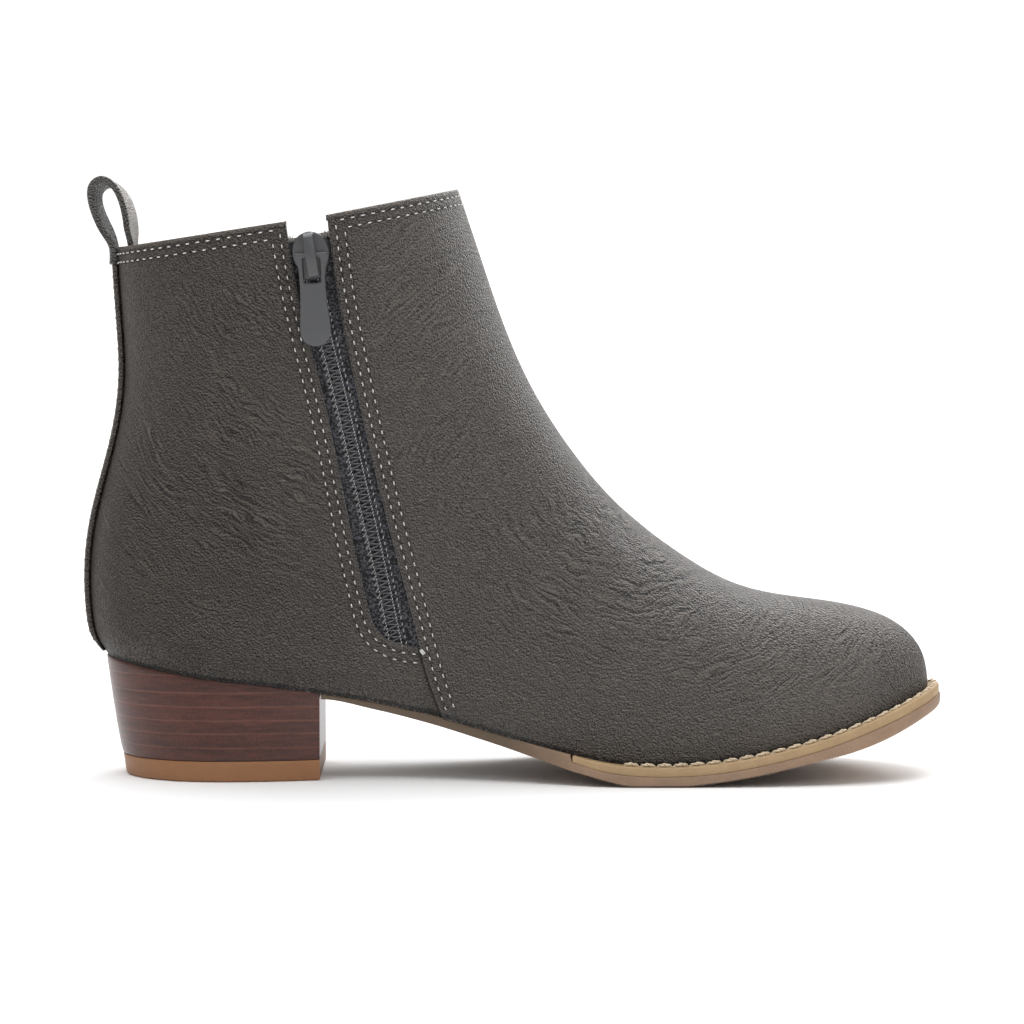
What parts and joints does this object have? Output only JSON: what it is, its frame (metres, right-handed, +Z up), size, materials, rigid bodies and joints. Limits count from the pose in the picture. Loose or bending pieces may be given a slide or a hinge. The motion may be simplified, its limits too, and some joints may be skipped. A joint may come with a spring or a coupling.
{
  "type": "zip ankle boot",
  "caption": "Leather ankle boot with an inner side zip, a back pull loop, a welted forefoot and a low block heel",
  "frame": {"origin": "on the floor, under the middle of the heel", "axes": "+X towards the toe, +Z up, -Y towards the inner side of the foot, which has the zip"},
  "size_m": [0.2663, 0.0902, 0.1851],
  "materials": {
    "grey_leather": "pebbled matt leather with a soft sheen",
    "dark_grey_leather": "the same leather, darker at the back seam and on the loop",
    "zip_tape_cloth": "woven zip tape",
    "zip_coil_plastic": "nylon coil",
    "grey_enamel": "satin grey enamel on die-cast metal",
    "tan_welt": "light tan welt, stitched at its crease",
    "tan_outsole": "tan outsole, darker through the waist",
    "stacked_heel": "stacked layers, stained dark brown and polished",
    "heel_tap_rubber": "brown top piece under the heel",
    "insole_sock": "plain lining leather on the insole board"
  },
  "bodies": {
    "boot": {"upper": "grey_leather", "back_strip": "dark_grey_leather", "pull_loop": "dark_grey_leather", "zip_tape": "zip_tape_cloth", "zip_coil": "zip_coil_plastic", "zip_slider": "grey_enamel", "welt": "tan_welt", "outsole": "tan_outsole", "heel": "stacked_heel", "heel_tap": "heel_tap_rubber", "insole": "insole_sock"},
    "pull_tab": {"zip_pull": "grey_enamel"}
  },
  "joints": [
    {"name": "zip_pull_hinge", "type": "hinge", "parent": "boot", "child": "pull_tab", "pos_m": [0.0293, -0.03775, 0.16131], "axis": [-0.9981, 0.0017, -0.061], "range_deg": [0, 165]}
  ]
}
